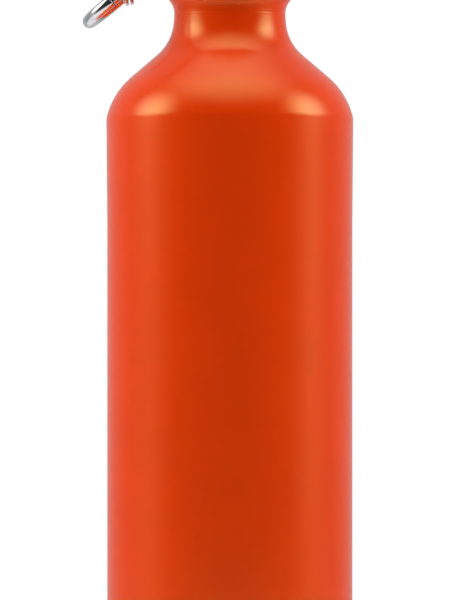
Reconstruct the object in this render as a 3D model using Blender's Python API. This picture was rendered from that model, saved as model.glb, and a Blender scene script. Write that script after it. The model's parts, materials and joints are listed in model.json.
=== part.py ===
"""A sport flask: a thin aluminium bottle with a rolled mouth, a screw cap with a moulded loop, and a snap
carabiner that hangs in the loop and leans on the cap's rim.

Metres, +Z up. The bottle stands on z = 0 and its axis is the Z axis. The carabiner leans towards -X.
"""

import math

import bmesh
import bpy
from mathutils import Matrix, Vector

# Clearances.
touch_gap = 0.0003
running_gap = 0.0001
slot_gap = 0.0002

# Bottle body, read from the base up.
body_radius = 0.03625
shoulder_swell = 0.00025
swell_height = 0.0300
shell_height = 0.2140
wall = 0.0009
base_thickness = 0.0015
heel_radius = 0.00525
standing_ring_width = 0.0040
panel_rise = 0.0010
panel_step_width = 0.0020

# Shoulder: a tight edge, a broad crown, a straight flank, a throat and a collar that runs out into the neck.
edge_radius = 0.0054
edge_turn = 14.7
crown_radius = 0.0224
flank_lean = 49.5
throat_radius = 0.0141
throat_turn = 40.5
collar_radius = 0.0233

# Neck and rolled bead.
neck_radius = 0.01645
neck_wall = 0.00115
neck_straight = 0.0002
bead_radius = 0.0187
bead_round = 0.0022
bead_flare = 33.0
bead_fillet = 0.0054
lip_round = 0.0008

# Gasket.
gasket_thickness = 0.0015
gasket_width = 0.0030
gasket_round = 0.0004

# Cap: a fluted flange over a hollow plug.
flange_radius = 0.0200
flange_height = 0.0054
flange_edge_round = 0.0010
flange_chamfer = 0.0005
groove_depth = 0.0007
plug_length = 0.0130
plug_step = 0.0009
plug_wall = 0.0020
plug_chamfer = 0.0010
collar_length = 0.0030
cap_plate = 0.0025
flute_count = 16
flute_depth = 0.00045

# Loop on the cap.
loop_gap = 0.0161
loop_leg = 0.0042
loop_leg_height = 0.0118
loop_depth = 0.0072
loop_foot = 0.0009
loop_round = 0.0012
loop_sink = 0.0016

# Carabiner. Along its length, distances are from the middle of the rod that lies in the loop.
carabiner_length = 0.0497
carabiner_width = 0.0237
rod_radius = 0.00185
loop_end_bend = 0.0060
tip_end_bend = 0.0085
hinge_straight = 0.00215
nose_straight = 0.0002

# Gate and its hinge tongue, latch, plunger and spring.
gate_radius = 0.00175
tongue_thickness = 0.0015
tongue_reach = 0.0018
tongue_half_width = 0.0014
rivet_radius = 0.00055
nose_plate_thickness = 0.0013
nose_plate_half_width = 0.0012
nose_plate_length = 0.0033
latch_pin_radius = 0.00045
latch_pin_inset = 0.0015
latch_pin_offset = 0.00045
bore_radius = 0.00115
bore_length = 0.0140
plunger_length = 0.0034
spring_wire_radius = 0.00017
spring_turns = 10

# Split ring on the carabiner's back rod.
ring_distance = 0.0316
ring_wire_radial = 0.0008
ring_wire_axial = 0.00105
ring_pitch = 0.0015
ring_slack = 0.0003
ring_tilt = 27.0
ring_step_angle = 40.0
ring_end_gap = 12.0

# Fineness of the round surfaces.
bottle_steps = 60
cap_steps = 96
gasket_steps = 48
rod_sides = 16
bend_steps = 8
pin_sides = 12

# Values that follow from the sizes above.
mouth_radius = neck_radius - neck_wall
cap_seat = shell_height + 2 * touch_gap + gasket_thickness - groove_depth
cap_top = cap_seat + flange_height
collar_outer_radius = mouth_radius - touch_gap
plug_radius = collar_outer_radius - plug_step
plug_bore = plug_radius - plug_wall
loop_spring_line = cap_top + loop_leg_height
rod_offset = carabiner_width / 2 - rod_radius
rod_span = carabiner_length - 2 * rod_radius
pivot_x = -(loop_gap / 2 - rod_radius - touch_gap)
pivot_z = loop_spring_line
hinge_shoulder = loop_end_bend + hinge_straight
hinge_distance = hinge_shoulder + touch_gap + gate_radius
nose_distance = rod_span - tip_end_bend - nose_straight
gate_end = nose_distance - touch_gap
slot_floor = hinge_distance + math.hypot(tongue_reach, tongue_half_width) + touch_gap
latch_pin_distance = gate_end - latch_pin_inset
plunger_start = hinge_distance + tongue_reach + touch_gap
plunger_radius = bore_radius - slot_gap


class Outline:
    """A line drawn in a plane by straight runs and arcs. Heading 0 points along the first axis, 90 along Z."""

    def __init__(self, first, second, heading):
        self.points = [Vector((first, 0, second))]
        self.heading = math.radians(heading)

    def turn(self, degrees):
        self.heading += math.radians(degrees)

    def run(self, length):
        step = Vector((math.cos(self.heading), 0, math.sin(self.heading)))
        self.points.append(self.points[-1] + step * length)

    def arc(self, radius, degrees, steps):
        """Goes round by this many degrees, to the left if positive."""
        side = math.copysign(1, degrees)
        left = Vector((-math.sin(self.heading), 0, math.cos(self.heading)))
        centre = self.points[-1] + left * side * radius
        spoke = self.points[-1] - centre
        for step in range(1, steps + 1):
            swung = Matrix.Rotation(-math.radians(degrees) * step / steps, 3, "Y") @ spoke
            self.points.append(centre + swung)
        self.turn(degrees)

    def to(self, first, second):
        self.points.append(Vector((first, 0, second)))


def material(name, color, metallic, roughness):
    made = bpy.data.materials.new(name)
    made.use_nodes = True
    shader = made.node_tree.nodes["Principled BSDF"]
    shader.inputs["Base Color"].default_value = (*color, 1)
    shader.inputs["Metallic"].default_value = metallic
    shader.inputs["Roughness"].default_value = roughness
    return made


def add_piece(name, bm, finish=None, parent=None, sharp_angle=35):
    """Makes an object of the mesh. Without a finish it is a cutter or another helper, which isn't rendered."""
    bmesh.ops.remove_doubles(bm, verts=bm.verts, dist=1e-6)
    bmesh.ops.recalc_face_normals(bm, faces=bm.faces)
    mesh = bpy.data.meshes.new(name)
    bm.to_mesh(mesh)
    bm.free()
    mesh.shade_smooth()
    mesh.set_sharp_from_angle(angle=math.radians(sharp_angle))
    piece = bpy.data.objects.new(name, mesh)
    bpy.context.scene.collection.objects.link(piece)
    piece.parent = parent
    if finish:
        mesh.materials.append(finish)
    else:
        piece.hide_render = True
        piece.display_type = "WIRE"
    return piece


def add_empty(name, place, turn_y=0.0, parent=None):
    empty = bpy.data.objects.new(name, None)
    bpy.context.scene.collection.objects.link(empty)
    empty.location = place
    empty.rotation_euler = (0, turn_y, 0)
    empty.parent = parent
    return empty


def combine(piece, other, operation):
    joined = piece.modifiers.new(other.name, "BOOLEAN")
    joined.operation = operation
    joined.object = other


def revolve(points, steps):
    """Spins a profile of (radius, 0, height) points round the Z axis. Its ends lie on the axis, or it is closed."""
    bm = bmesh.new()
    corners = [bm.verts.new(point) for point in points]
    pairs = list(zip(corners, corners[1:]))
    if points[0].x > 0 or points[-1].x > 0:
        pairs.append((corners[-1], corners[0]))
    edges = [bm.edges.new(pair) for pair in pairs]
    bmesh.ops.spin(
        bm, geom=corners + edges, cent=(0, 0, 0), axis=(0, 0, 1),
        angle=math.tau, steps=steps, use_merge=True, use_duplicate=False,
    )
    bmesh.ops.remove_doubles(bm, verts=bm.verts, dist=1e-6)
    return bm


def slab(points, thickness):
    """A flat outline in the plane of its points, thickened evenly to both sides along the plane's normal."""
    bm = bmesh.new()
    face = bm.faces.new([bm.verts.new(point) for point in points])
    face.normal_update()
    half = face.normal * thickness / 2
    raised = bmesh.ops.extrude_face_region(bm, geom=[face])["geom"]
    new_corners = [item for item in raised if isinstance(item, bmesh.types.BMVert)]
    bmesh.ops.translate(bm, verts=list(face.verts), vec=-half)
    bmesh.ops.translate(bm, verts=new_corners, vec=half)
    return bm


def box(low, high):
    bm = bmesh.new()
    bmesh.ops.create_cube(bm, size=1)
    low, high = Vector(low), Vector(high)
    bmesh.ops.scale(bm, verts=bm.verts, vec=high - low)
    bmesh.ops.translate(bm, verts=bm.verts, vec=(low + high) / 2)
    return bm


def cylinder(radius, start, end, sides):
    """A closed cylinder between two points."""
    bm = bmesh.new()
    start, end = Vector(start), Vector(end)
    reach = end - start
    bmesh.ops.create_cone(
        bm, cap_ends=True, segments=sides, radius1=radius, radius2=radius, depth=reach.length,
    )
    turn = Vector((0, 0, 1)).rotation_difference(reach).to_matrix()
    bmesh.ops.rotate(bm, cent=(0, 0, 0), matrix=turn, verts=bm.verts)
    bmesh.ops.translate(bm, verts=bm.verts, vec=(start + end) / 2)
    return bm


def shoulder_flank(drop, edge, crown, throat, collar):
    """The straight flank's length that brings the wall in by this drop, and the share its arcs may keep."""
    lean = math.radians(flank_lean)
    first = math.radians(edge_turn)
    last = math.radians(flank_lean - throat_turn)
    by_arcs = edge * (1 - math.cos(first)) + crown * (math.cos(first) - math.cos(lean))
    by_arcs += throat * (math.cos(last) - math.cos(lean)) + collar * (1 - math.cos(last))
    share = min(1.0, 0.95 * drop / by_arcs)
    return (drop - share * by_arcs) / math.sin(lean), share


def draw_shoulder(line, drop, inset, finer):
    """Draws from the wall's top to the neck, offset inwards by inset. finer is the number of steps in the crown."""
    edge, crown = edge_radius - inset, crown_radius - inset
    throat, collar = throat_radius + inset, collar_radius + inset
    flank, share = shoulder_flank(drop, edge, crown, throat, collar)
    line.arc(edge * share, edge_turn, max(1, finer // 3))
    line.arc(crown * share, flank_lean - edge_turn, finer)
    line.run(flank)
    line.arc(throat * share, -throat_turn, max(2, finer - 1))
    line.arc(collar * share, -(flank_lean - throat_turn), max(1, finer // 2))


def height_of(draw, *values):
    """How far a stretch of outline climbs."""
    line = Outline(0, 0, 90)
    draw(line, *values)
    return line.points[-1].z


def bead_start():
    """The height at which the neck begins to flare into the bead, and the flare's straight length."""
    flare = math.radians(bead_flare)
    widening = bead_radius - neck_radius
    by_arcs = (bead_fillet + bead_round) * (1 - math.cos(flare))
    share = min(1.0, 0.95 * widening / by_arcs)
    straight = (widening - share * by_arcs) / math.sin(flare)
    climb = (share * bead_fillet + bead_round) * math.sin(flare) + straight * math.cos(flare) + bead_round
    return shell_height - climb, straight, share


def bottle_shell(finish):
    wide_radius = body_radius + shoulder_swell
    outer_drop = wide_radius - neck_radius
    inner_drop = wide_radius - wall - mouth_radius
    flare_height, flare_run, flare_share = bead_start()
    neck_bottom = flare_height - neck_straight
    wall_top = neck_bottom - height_of(draw_shoulder, outer_drop, 0.0, 6)
    inner_wall_top = wall_top + (height_of(draw_shoulder, outer_drop, 0.0, 6)
                                 - height_of(draw_shoulder, inner_drop, wall, 5)) / 2

    outer = Outline(0, panel_rise, 0)
    ring_outer = body_radius - heel_radius
    ring_inner = ring_outer - standing_ring_width
    outer.to(ring_inner - panel_step_width, panel_rise)
    outer.to(ring_inner, 0)
    outer.to(ring_outer, 0)
    outer.arc(heel_radius, 90, 4)
    outer.to(body_radius, wall_top - swell_height)
    outer.to(wide_radius, wall_top)
    draw_shoulder(outer, outer_drop, 0.0, 6)
    outer.to(neck_radius, flare_height)
    outer.arc(bead_fillet * flare_share, -bead_flare, 3)
    outer.run(flare_run)
    outer.arc(bead_round * flare_share, bead_flare, 1)
    outer.to(bead_radius, shell_height - bead_round)
    outer.arc(bead_round, 90, 4)
    outer.to(mouth_radius + lip_round, shell_height)
    outer.arc(lip_round, 90, 2)

    inner = Outline(0, panel_rise + base_thickness, 0)
    inner_heel = heel_radius - wall
    inner.to(body_radius - wall - inner_heel, panel_rise + base_thickness)
    inner.arc(inner_heel, 90, 3)
    inner.to(body_radius - wall, wall_top - swell_height)
    inner.to(wide_radius - wall, inner_wall_top)
    draw_shoulder(inner, inner_drop, wall, 5)

    return add_piece("bottle_shell", revolve(outer.points + inner.points[::-1], bottle_steps), finish)


def cap_gasket(finish, parent):
    inner_radius = collar_outer_radius + touch_gap
    low = shell_height + touch_gap
    flat = gasket_width - 2 * gasket_round
    high = gasket_thickness - 2 * gasket_round
    ring = Outline(inner_radius + gasket_round, low, 0)
    for length in (flat, high, flat, high):
        ring.run(length)
        ring.arc(gasket_round, 90, 2)
    return add_piece("cap_gasket", revolve(ring.points[:-1], gasket_steps), finish, parent)


def cap_body(finish, parent):
    groove_outer = collar_outer_radius + gasket_width + 2 * touch_gap
    plug_bottom = cap_seat - plug_length
    line = Outline(0, cap_top, 0)
    line.run(flange_radius - flange_edge_round)
    line.arc(flange_edge_round, -90, 3)
    line.to(flange_radius, cap_seat + flange_chamfer)
    line.to(flange_radius - flange_chamfer, cap_seat)
    line.to(groove_outer, cap_seat)
    line.to(groove_outer, cap_seat + groove_depth)
    line.to(collar_outer_radius, cap_seat + groove_depth)
    line.to(collar_outer_radius, cap_seat - collar_length)
    line.to(plug_radius, cap_seat - collar_length - plug_step)
    line.to(plug_radius, plug_bottom + plug_chamfer)
    line.to(plug_radius - plug_chamfer, plug_bottom)
    line.to(plug_bore, plug_bottom)
    line.to(plug_bore, cap_top - cap_plate)
    line.to(0, cap_top - cap_plate)
    bm = revolve(line.points, cap_steps)
    carve_flutes(bm)
    body = add_piece("cap", bm, finish, parent)
    combine(body, cap_loop(parent), "UNION")
    return body


def carve_flutes(bm):
    """Draws the flange's side in, in even waves round the rim."""
    for corner in bm.verts:
        outward = Vector((corner.co.x, corner.co.y, 0))
        on_side = outward.length > flange_radius - 1e-6
        if on_side and corner.co.z < cap_top - flange_edge_round / 2:
            wave = (1 - math.cos(flute_count * math.atan2(corner.co.y, corner.co.x))) / 2
            corner.co -= outward.normalized() * flute_depth * wave


def cap_loop(parent):
    """The upright loop, as a flat outline that is thickened and rounded, and sunk a little into the flange."""
    inner, outer = loop_gap / 2, loop_gap / 2 + loop_leg
    foot = cap_top - loop_sink
    line = Outline(outer + loop_foot, foot, 90)
    line.to(outer, loop_spring_line)
    line.arc(outer, 180, 14)
    line.to(-outer - loop_foot, foot)
    line.to(-inner, foot)
    line.to(-inner, loop_spring_line)
    line.heading = math.radians(90)
    line.arc(inner, -180, 12)
    line.to(inner, foot)
    loop = add_piece("cap_loop_form", slab(line.points, loop_depth), parent=parent)
    rounding = loop.modifiers.new("edges", "BEVEL")
    rounding.width = loop_round
    rounding.segments = 2
    rounding.limit_method = "ANGLE"
    rounding.angle_limit = math.radians(50)
    return loop


def lean_angle():
    """How far below level the carabiner lies, with its rods on the rounded rim of the cap."""
    rim = flange_radius - flange_edge_round
    rim_x = -math.sqrt(rim * rim - (rod_offset - rod_radius / 2) ** 2)
    away_x = rim_x - pivot_x
    away_z = cap_top - flange_edge_round - pivot_z
    reach = math.hypot(away_x, away_z)
    kept_off = rod_radius + flange_edge_round + touch_gap
    return math.atan2(-away_z, -away_x) - math.asin(kept_off / reach)


def bent_rod(radius, sides, start, moves):
    """A round rod that starts at a point, facing -X, and is drawn straight or bent in the XY plane.

    A move is ("straight", length) or ("bend", radius), which turns a quarter to the left as seen from below.
    """
    bm = bmesh.new()
    made = bmesh.ops.create_circle(bm, segments=sides, radius=radius, cap_ends=False)
    bmesh.ops.rotate(bm, cent=(0, 0, 0), matrix=Matrix.Rotation(math.pi / 2, 3, "Y"), verts=made["verts"])
    bmesh.ops.translate(bm, verts=made["verts"], vec=start)
    end = list(bm.edges)
    place, heading = Vector(start), Vector((-1, 0, 0))
    for kind, size in moves:
        if kind == "straight":
            grown = bmesh.ops.extrude_edge_only(bm, edges=end)["geom"]
            corners = [item for item in grown if isinstance(item, bmesh.types.BMVert)]
            bmesh.ops.translate(bm, verts=corners, vec=heading * size)
            place = place + heading * size
        else:
            inward = Vector((0, 0, 1)).cross(heading) * -1
            centre = place + inward * size
            grown = bmesh.ops.spin(
                bm, geom=end, cent=centre, axis=(0, 0, -1), angle=math.pi / 2, steps=bend_steps,
                use_duplicate=False,
            )["geom_last"]
            place = centre + heading * size
            heading = inward
        end = [item for item in grown if isinstance(item, bmesh.types.BMEdge)]
    bmesh.ops.holes_fill(bm, edges=bm.edges, sides=sides)
    return bm


def carabiner_body(finish, parent):
    tip_straight = rod_offset - tip_end_bend
    moves = [
        ("straight", hinge_straight),
        ("bend", loop_end_bend),
        ("straight", 2 * (rod_offset - loop_end_bend)),
        ("bend", loop_end_bend),
        ("straight", rod_span - loop_end_bend - tip_end_bend),
        ("bend", tip_end_bend),
        ("straight", 2 * tip_straight),
        ("bend", tip_end_bend),
        ("straight", nose_straight),
    ]
    rod = bent_rod(rod_radius, rod_sides, (hinge_shoulder, -rod_offset, 0), moves)
    body = add_piece("carabiner_body", rod, finish, parent)
    combine(body, hinge_tongue(parent), "UNION")
    combine(body, nose_plate(parent), "UNION")
    hole = cylinder(
        rivet_radius + running_gap,
        (hinge_distance, -rod_offset, -rod_radius), (hinge_distance, -rod_offset, rod_radius), pin_sides,
    )
    combine(body, add_piece("tongue_hole_cutter", hole, parent=parent), "DIFFERENCE")
    return body


def hinge_tongue(parent):
    """The flattened end of the rod that the gate turns on. The plunger presses on its square end."""
    root = hinge_shoulder - rod_radius / 4
    corners = [
        (root, -tongue_half_width), (hinge_distance + tongue_reach, -tongue_half_width),
        (hinge_distance + tongue_reach, tongue_half_width), (root, tongue_half_width),
    ]
    points = [Vector((along, across - rod_offset, 0)) for along, across in corners]
    return add_piece("hinge_tongue_form", slab(points, tongue_thickness), parent=parent)


def nose_plate(parent):
    """The hooked plate that stands in the gate's slot, with its notch open inwards, where the latch pin leaves."""
    root = nose_distance + rod_radius / 4
    tip = nose_distance - nose_plate_length
    half = nose_plate_half_width
    notch_floor = latch_pin_offset - latch_pin_radius - slot_gap
    notch_low = latch_pin_distance - latch_pin_radius - slot_gap
    notch_high = latch_pin_distance + latch_pin_radius + slot_gap
    corners = [
        (root, -half), (root, half), (notch_high, half), (notch_high, notch_floor),
        (notch_low, notch_floor), (notch_low, half), (tip, half), (tip, -half),
    ]
    points = [Vector((along, across - rod_offset, 0)) for along, across in corners]
    return add_piece("nose_plate_form", slab(points, nose_plate_thickness), parent=parent)


def carabiner_gate(finish, parent):
    """The gate, about its hinge: along X is towards the nose, Y is inwards, Z is the rivet's axis."""
    length = gate_end - hinge_distance
    profile = Outline(0, -gate_radius, 0)
    profile.arc(gate_radius, 90, 4)
    profile.to(gate_radius, length)
    profile.to(0, length)
    bm = revolve(profile.points, rod_sides)
    bmesh.ops.rotate(bm, cent=(0, 0, 0), matrix=Matrix.Rotation(math.pi / 2, 3, "Y"), verts=bm.verts)
    gate = add_piece("carabiner_gate", bm, finish, parent)
    wide = 2 * gate_radius
    tongue_half = tongue_thickness / 2 + slot_gap
    plate_half = nose_plate_thickness / 2 + slot_gap
    floor = slot_floor - hinge_distance
    plate_start = nose_distance - nose_plate_length - hinge_distance - touch_gap
    pin_x = latch_pin_distance - hinge_distance
    cutters = {
        "hinge_slot_cutter": box((-wide, -wide, -tongue_half), (floor, wide, tongue_half)),
        "nose_slot_cutter": box((plate_start, -wide, -plate_half), (length + wide, wide, plate_half)),
        "spring_bore_cutter": cylinder(
            bore_radius, (floor - touch_gap, 0, 0), (floor + bore_length, 0, 0), pin_sides),
        "gate_rivet_cutter": cylinder(
            rivet_radius + running_gap, (0, 0, -wide), (0, 0, wide), pin_sides),
        "latch_pin_cutter": cylinder(
            latch_pin_radius + running_gap,
            (pin_x, latch_pin_offset, -wide), (pin_x, latch_pin_offset, wide), pin_sides),
    }
    for name, shape in cutters.items():
        combine(gate, add_piece(name, shape, parent=parent), "DIFFERENCE")
    return gate


def gate_pins(finish, carabiner, hinge):
    """The rivet that the gate turns on and the latch pin across its slot, both flush with the gate's sides."""
    half = gate_radius - running_gap
    rivet = cylinder(
        rivet_radius, (hinge_distance, -rod_offset, -half), (hinge_distance, -rod_offset, half), pin_sides)
    add_piece("gate_rivet", rivet, finish, carabiner)
    pin_x = latch_pin_distance - hinge_distance
    half = math.sqrt(gate_radius ** 2 - latch_pin_offset ** 2) - running_gap
    pin = cylinder(
        latch_pin_radius, (pin_x, latch_pin_offset, -half), (pin_x, latch_pin_offset, half), pin_sides)
    add_piece("latch_pin", pin, finish, hinge)


def gate_plunger(finish, parent):
    start = plunger_start - hinge_distance
    round_end = plunger_radius / 3
    profile = Outline(0, start, 0)
    profile.run(plunger_radius - round_end)
    profile.arc(round_end, 90, 2)
    profile.to(plunger_radius, start + plunger_length)
    profile.to(0, start + plunger_length)
    bm = revolve(profile.points, pin_sides)
    bmesh.ops.rotate(bm, cent=(0, 0, 0), matrix=Matrix.Rotation(math.pi / 2, 3, "Y"), verts=bm.verts)
    return add_piece("gate_plunger", bm, finish, parent)


def coil(name, radius, across, along, sides, low, stretches):
    """Winds an oval wire round the Z axis, from this height up. A stretch is (degrees, climb, steps)."""
    angles = [math.tau * side / sides for side in range(sides)]
    section = [Vector((radius + math.cos(a) * across / 2, 0, low + math.sin(a) * along / 2)) for a in angles]
    bm = bmesh.new()
    corners = [bm.verts.new(point) for point in section]
    end = [bm.edges.new(pair) for pair in zip(corners, corners[1:] + corners[:1])]
    middle = [(0.0, Vector((radius, 0, low)))]
    for degrees, climb, steps in stretches:
        grown = bmesh.ops.spin(
            bm, geom=end, cent=(0, 0, 0), axis=(0, 0, 1), dvec=(0, 0, climb / steps),
            angle=math.radians(degrees), steps=steps, use_duplicate=False,
        )["geom_last"]
        end = [item for item in grown if isinstance(item, bmesh.types.BMEdge)]
        for _ in range(steps):
            turned, place = middle[-1]
            place = Matrix.Rotation(math.radians(degrees) / steps, 3, "Z") @ place
            middle.append((turned + degrees / steps, place + Vector((0, 0, climb / steps))))
    bmesh.ops.holes_fill(bm, edges=bm.edges, sides=sides)
    apart = [
        (first - second).length
        for turned, first in middle for other, second in middle if other - turned > 180
    ]
    print(f"{name}: least gap between its turns {1000 * (min(apart) - along):.2f} mm")
    return bm


def gate_spring(finish, parent):
    """The coil that pushes the plunger out against the tongue, inside the gate's bore."""
    start = plunger_start + plunger_length + touch_gap - hinge_distance + spring_wire_radius
    stop = slot_floor - hinge_distance + bore_length - touch_gap - spring_wire_radius
    radius = bore_radius - slot_gap - spring_wire_radius
    wire = 2 * spring_wire_radius
    turns = [(360 * spring_turns, stop - start, 8 * spring_turns)]
    bm = coil("gate_spring", radius, wire, wire, 5, start, turns)
    bmesh.ops.rotate(bm, cent=(0, 0, 0), matrix=Matrix.Rotation(math.pi / 2, 3, "Y"), verts=bm.verts)
    return add_piece("gate_spring", bm, finish, parent)


def split_ring(finish, parent):
    """Two flat turns of wire, joined by a step between their ends. It is tilted on the rod that it hangs round."""
    tilt = math.radians(ring_tilt)
    inner_radius = (rod_radius + ring_slack + ring_pitch / 2 * math.sin(tilt)) / math.cos(tilt)
    radius = inner_radius + ring_wire_radial / 2
    flat = 360 - ring_step_angle - ring_end_gap
    turns = [(flat, 0, 22), (ring_step_angle, ring_pitch, 4), (flat, 0, 22)]
    bm = coil("split_ring", radius, ring_wire_radial, ring_wire_axial, 8, -ring_pitch / 2, turns)
    ends_up = Matrix.Rotation(-math.radians(flat + ring_step_angle / 2), 3, "Z")
    along_rod = Matrix.Rotation(math.pi / 2 + tilt, 3, "Y")
    bmesh.ops.rotate(bm, cent=(0, 0, 0), matrix=along_rod @ ends_up, verts=bm.verts)
    return add_piece("split_ring", bm, finish, parent)


def main():
    for old in list(bpy.data.objects):
        bpy.data.objects.remove(old, do_unlink=True)

    coated = material("orange_powder_coat", (0.76, 0.085, 0.008), 0.0, 0.45)
    moulded = material("black_polypropylene", (0.02, 0.02, 0.022), 0.0, 0.5)
    silicone = material("grey_silicone", (0.55, 0.55, 0.53), 0.0, 0.6)
    polished = material("polished_aluminium", (0.78, 0.79, 0.80), 1.0, 0.12)
    steel = material("spring_steel", (0.60, 0.60, 0.60), 1.0, 0.25)

    cap_axis = add_empty("cap_axis", (0, 0, cap_seat))
    cap_frame = add_empty("cap_frame", (0, 0, -cap_seat), parent=cap_axis)
    lean = lean_angle()
    carabiner_pivot = add_empty("carabiner_pivot", (pivot_x, 0, pivot_z), math.pi - lean, cap_frame)
    gate_hinge = add_empty("gate_hinge", (hinge_distance, -rod_offset, 0), parent=carabiner_pivot)
    ring_centre = add_empty("ring_centre", (ring_distance, rod_offset, 0), parent=carabiner_pivot)

    bottle_shell(coated)
    cap_gasket(silicone, cap_frame)
    cap_body(moulded, cap_frame)
    carabiner_body(polished, carabiner_pivot)
    carabiner_gate(polished, gate_hinge)
    gate_pins(steel, carabiner_pivot, gate_hinge)
    gate_plunger(steel, gate_hinge)
    gate_spring(steel, gate_hinge)
    split_ring(steel, ring_centre)
    print(f"carabiner leans {math.degrees(lean):.2f} degrees, cap top at {1000 * cap_top:.2f} mm")


main()
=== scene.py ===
"""The dressed flask: a coated bottle with a screw cap and a snap carabiner, on a white studio table.

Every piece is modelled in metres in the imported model's own frame, rides on one of its bodies and stands for
the plain solids of the same place.
"""

import json
import math

import bmesh
import bpy
from bpy.props import FloatProperty, FloatVectorProperty, IntProperty, PointerProperty
from bpy.types import Operator, Panel, PropertyGroup
from mathutils import Matrix, Vector


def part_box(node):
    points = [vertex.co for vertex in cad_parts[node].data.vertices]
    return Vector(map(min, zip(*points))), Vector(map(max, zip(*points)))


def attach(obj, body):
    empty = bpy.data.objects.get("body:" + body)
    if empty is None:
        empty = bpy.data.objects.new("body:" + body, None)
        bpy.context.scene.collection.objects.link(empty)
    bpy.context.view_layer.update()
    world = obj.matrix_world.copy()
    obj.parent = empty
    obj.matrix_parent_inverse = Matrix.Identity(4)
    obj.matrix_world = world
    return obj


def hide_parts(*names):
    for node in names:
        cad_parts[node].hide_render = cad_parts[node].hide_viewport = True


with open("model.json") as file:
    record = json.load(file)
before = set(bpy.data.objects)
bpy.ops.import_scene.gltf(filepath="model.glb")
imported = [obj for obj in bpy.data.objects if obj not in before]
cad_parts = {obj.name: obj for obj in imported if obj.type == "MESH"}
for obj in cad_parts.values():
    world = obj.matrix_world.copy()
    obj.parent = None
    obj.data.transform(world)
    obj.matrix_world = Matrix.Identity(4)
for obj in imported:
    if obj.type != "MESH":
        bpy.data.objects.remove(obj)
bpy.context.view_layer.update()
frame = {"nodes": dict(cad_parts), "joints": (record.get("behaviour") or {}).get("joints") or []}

bl_info = {
    "name": "Sports flask",
    "version": (1, 0, 0),
    "blender": (4, 5, 0),
    "location": "3D View > Sidebar > Flask",
    "description": "Builds a coated aluminium flask with a screw cap, a carabiner and a studio round it",
    "category": "Add Mesh",
}

shell_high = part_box("bottle_shell")[1]
cap_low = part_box("cap")[0]
gasket_low, gasket_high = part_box("cap_gasket")
joints = {joint["name"]: joint for joint in frame["joints"]}
carabiner_pivot = Vector(joints["carabiner_swing"]["pos_m"])
gate_pivot = Vector(joints["gate_open"]["pos_m"])
ring_centre = Vector(joints["ring_turn"]["pos_m"])
along_rod = Vector(joints["ring_turn"]["axis"]).normalized()
touch_gap = 0.0003
merge_distance = 1e-6
tiny = 1e-7
quarter = math.pi / 2


def length(name, description, default):
    return FloatProperty(name=name, description=description, default=default, unit="LENGTH", precision=5)


def angle(name, description, degrees):
    return FloatProperty(name=name, description=description, default=math.radians(degrees), subtype="ANGLE")


def count(name, description, default):
    return IntProperty(name=name, description=description, default=default, min=1)


def watts(name, description, default):
    return FloatProperty(name=name, description=description, default=default, unit="POWER", min=0.0)


def colour(name, description, default):
    return FloatVectorProperty(
        name=name, description=description, default=default, subtype="COLOR", size=3, min=0.0, max=1.0)


class BottleSizes(PropertyGroup):
    """The spun shell, from its base up to the rolled bead."""
    body_radius: length("Body radius", "Outer radius of the straight wall", 0.03625)
    shoulder_swell: length("Shoulder swell", "How much the wall widens up to the shoulder", 0.00025)
    swell_height: length("Swell height", "Height over which the wall widens", 0.030)
    wall: length("Wall", "Thickness of the wall", 0.0009)
    base_thickness: length("Base thickness", "Thickness of the base panel", 0.0015)
    heel_radius: length("Heel radius", "Radius of the edge round the base", 0.00525)
    ring_width: length("Standing ring width", "Width of the ring that the bottle stands on", 0.0040)
    panel_rise: length("Panel rise", "How far the base panel stands above the table", 0.0010)
    panel_step: length("Panel step", "Width of the step up to the base panel", 0.0020)
    edge_radius: length("Edge radius", "Radius of the bend at the top of the wall", 0.0054)
    edge_turn: angle("Edge turn", "How far the tight bend turns", 14.7)
    crown_radius: length("Crown radius", "Radius of the broad bend of the shoulder", 0.0224)
    flank_lean: angle("Flank lean", "Lean of the shoulder's straight flank from upright", 49.5)
    throat_radius: length("Throat radius", "Radius of the hollow bend under the neck", 0.0141)
    throat_turn: angle("Throat turn", "How far the hollow bend turns", 40.5)
    collar_radius: length("Collar radius", "Radius of the run-out into the neck", 0.0233)
    neck_radius: length("Neck radius", "Outer radius of the neck", 0.01645)
    neck_wall: length("Neck wall", "Thickness of the neck's wall", 0.00115)
    neck_straight: length("Neck straight", "Straight height of the neck", 0.0002)
    bead_radius: length("Bead radius", "Outer radius of the rolled bead", 0.0187)
    bead_round: length("Bead round", "Radius of the bead's section", 0.0022)
    bead_flare: angle("Bead flare", "Lean of the flare under the bead", 33.0)
    bead_fillet: length("Bead fillet", "Radius between the neck and the flare", 0.0054)
    lip_round: length("Lip round", "Radius of the mouth's inner edge", 0.0008)


class ThreadSizes(PropertyGroup):
    """The screw thread between the plug and the neck."""
    pitch: length("Pitch", "Rise in one turn", 0.0030)
    depth: length("Depth", "How far a ridge stands out of its wall", 0.00080)
    base_width: length("Base width", "Width of a ridge at its wall", 0.00125)
    crest_width: length("Crest width", "Width of a ridge at its crest", 0.00055)
    crest_chamfer: length("Crest chamfer", "Chamfer of the crest's edges", 0.00010)
    root: length("Root", "How deep a ridge's foot lies in its wall", 0.00032)
    turns: FloatProperty(name="Turns", description="Length of each thread in turns", default=2.25, min=0.5)
    reach: length("Reach", "How far below the mouth each thread starts", 0.0095)
    runout: angle("Run-out", "Angle over which each end of a ridge sinks into its wall", 40.0)


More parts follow.
